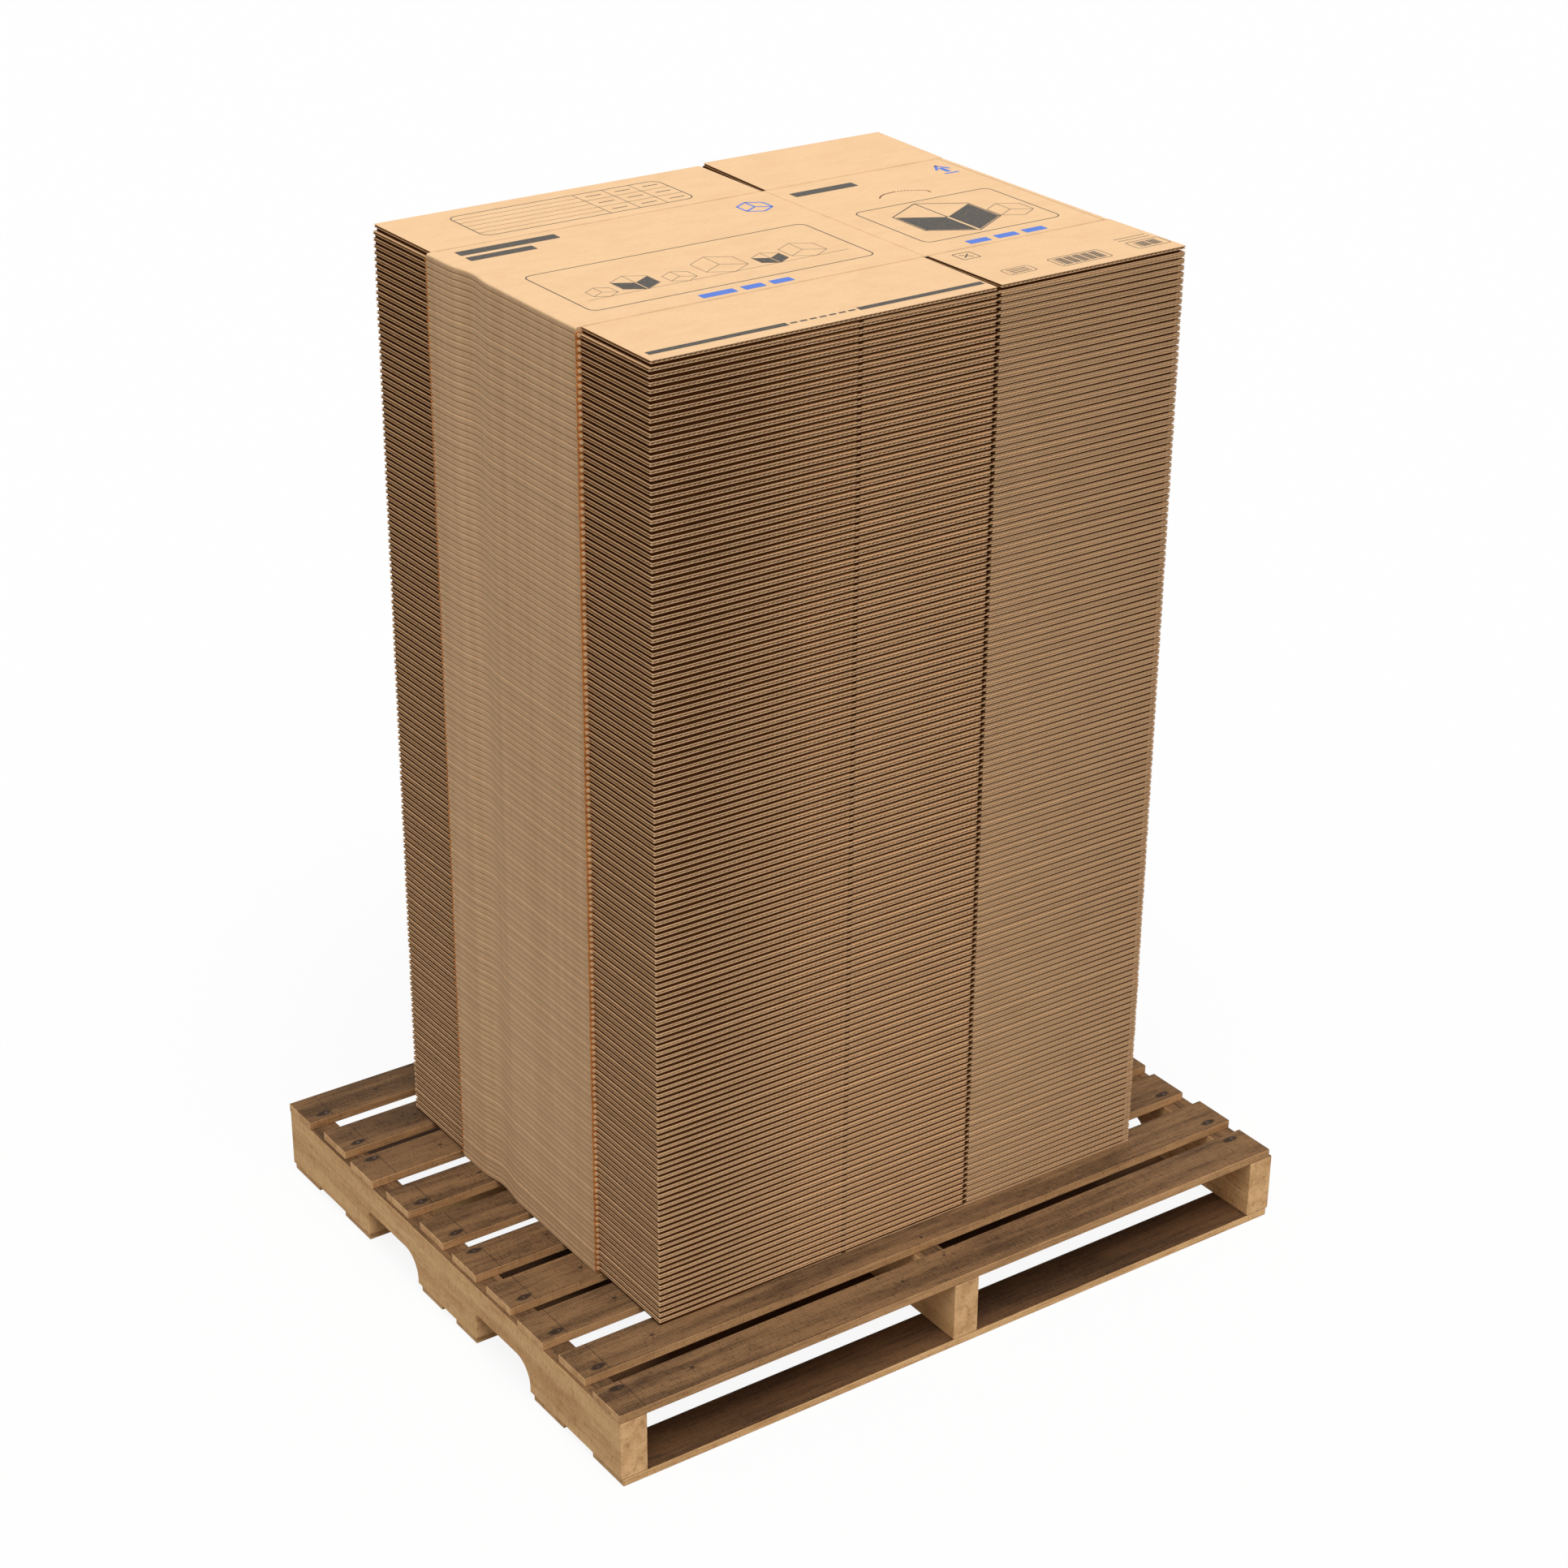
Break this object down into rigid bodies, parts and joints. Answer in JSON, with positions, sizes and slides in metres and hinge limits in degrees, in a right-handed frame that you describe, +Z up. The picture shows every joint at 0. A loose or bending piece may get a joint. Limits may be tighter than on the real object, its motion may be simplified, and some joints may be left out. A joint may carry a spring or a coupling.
{
  "type": "stack of flattened boxes on a pallet",
  "caption": "Squared stack of flat knocked-down corrugated shipping boxes standing on a notched stringer pallet.",
  "frame": {"origin": "on the floor under the middle of the pallet", "axes": "+Z up, +X along the deck boards towards the right-hand end, +Y along the stringers away from the viewer's side"},
  "size_m": [1.2262, 0.996, 1.5931],
  "materials": {
    "kraft_board": "matte kraft liner with crushed score lines",
    "kraft_edges": "matte raw cut edges of corrugated board",
    "pallet_wood": "rough sawn, unfinished"
  },
  "bodies": {
    "root": {"stringer_left": "pallet_wood", "stringer_middle": "pallet_wood", "stringer_right": "pallet_wood", "deck_board_01": "pallet_wood", "deck_board_02": "pallet_wood", "deck_board_03": "pallet_wood", "deck_board_04": "pallet_wood", "deck_board_05": "pallet_wood", "deck_board_06": "pallet_wood", "deck_board_07": "pallet_wood", "deck_board_08": "pallet_wood", "deck_board_09": "pallet_wood", "deck_board_10": "pallet_wood", "bottom_board_01": "pallet_wood", "bottom_board_02": "pallet_wood", "bottom_board_03": "pallet_wood", "bottom_board_04": "pallet_wood", "bottom_board_05": "pallet_wood", "bottom_board_06": "pallet_wood", "bundle_01": "kraft_edges", "bundle_02": "kraft_edges", "bundle_03": "kraft_edges", "bundle_04": "kraft_edges", "bundle_05": "kraft_edges", "bundle_06": "kraft_edges", "bundle_07": "kraft_edges", "bundle_08": "kraft_edges", "bundle_09": "kraft_edges", "bundle_10": "kraft_edges", "bundle_11": "kraft_edges", "bundle_12": "kraft_edges", "bundle_13": "kraft_edges", "bundle_14": "kraft_edges", "bundle_15": "kraft_edges", "top_box": "kraft_board"}
  },
  "joints": []
}
